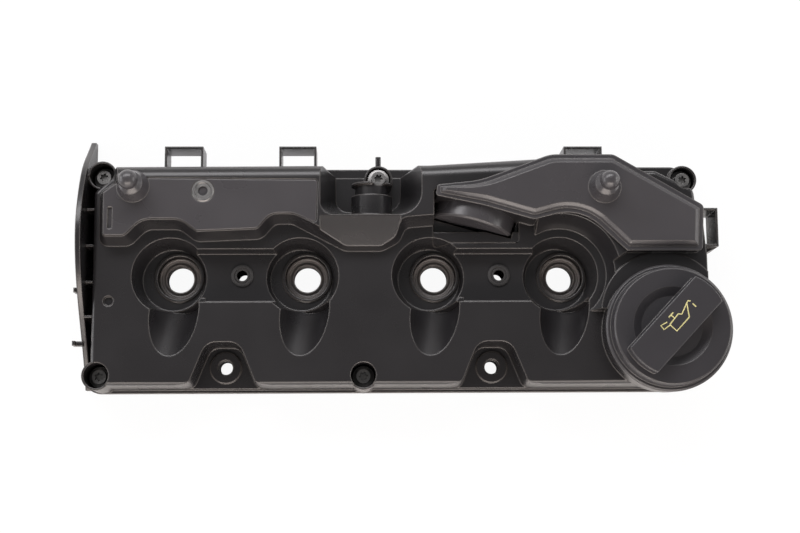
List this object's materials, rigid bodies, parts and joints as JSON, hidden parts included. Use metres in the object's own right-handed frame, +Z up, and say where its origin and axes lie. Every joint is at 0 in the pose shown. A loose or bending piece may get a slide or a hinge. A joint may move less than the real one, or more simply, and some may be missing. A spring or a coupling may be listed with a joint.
{
  "type": "engine valve cover",
  "caption": "Moulded valve cover for a diesel engine, with injector wells, oil separator chambers under welded lids, pressure regulator, breather pipe and screw-on filler cap.",
  "frame": {"origin": "middle of the injector line, on the face of the cylinder head that the gasket seals on", "axes": "+X along the engine towards the filler cap, +Y towards the breather pipe, +Z up out of the cylinder head"},
  "size_m": [0.442, 0.1814, 0.0971],
  "materials": {
    "housing_plastic": "satin black glass-filled nylon, lightly grained by the mould",
    "lid_plastic": "satin black nylon, smoother than the housing",
    "cap_plastic": "satin black nylon",
    "rubber": "matt black elastomer",
    "steel": "darkened steel"
  },
  "bodies": {
    "cover": {"cover_housing": "housing_plastic", "left_separator_lid": "lid_plastic", "right_separator_lid": "lid_plastic", "vent_insert": "steel", "left_separator_floor": "housing_plastic", "right_separator_floor": "housing_plastic", "perimeter_gasket": "rubber", "regulator_cap": "lid_plastic", "regulator_diaphragm": "rubber", "regulator_spring": "steel", "cover_bolts": "steel", "bolt_grommets": "rubber", "bolt_sleeves": "steel", "injector_seal_1": "rubber", "injector_seal_2": "rubber", "injector_seal_3": "rubber", "injector_seal_4": "rubber", "clamp_bolt_seal_1": "rubber", "clamp_bolt_seal_2": "rubber", "stud_sleeve_1": "steel", "stud_sleeve_2": "steel"},
    "regulator": {"regulator_plate": "housing_plastic"},
    "cap_seal": {"oil_cap_seal": "rubber"},
    "cap": {"oil_filler_cap": "cap_plastic", "oil_cap_plug": "cap_plastic"}
  },
  "joints": [
    {"name": "regulator_slide", "type": "slide", "parent": "cover", "child": "regulator", "axis": [0.2582, 0.9636, -0.0698], "range_m": [0, 0.003], "stiffness_N_per_m": 200, "deforming": ["regulator_diaphragm", "regulator_spring"]},
    {"name": "cap_lift", "type": "slide", "parent": "cover", "child": "cap_seal", "axis": [0, 0, 1], "range_m": [0, 0.06]},
    {"name": "cap_turn", "type": "hinge", "parent": "cap_seal", "child": "cap", "pos_m": [0.1972, -0.0407, 0.066], "axis": [0, 0, 1], "range_deg": [0, 270]}
  ]
}
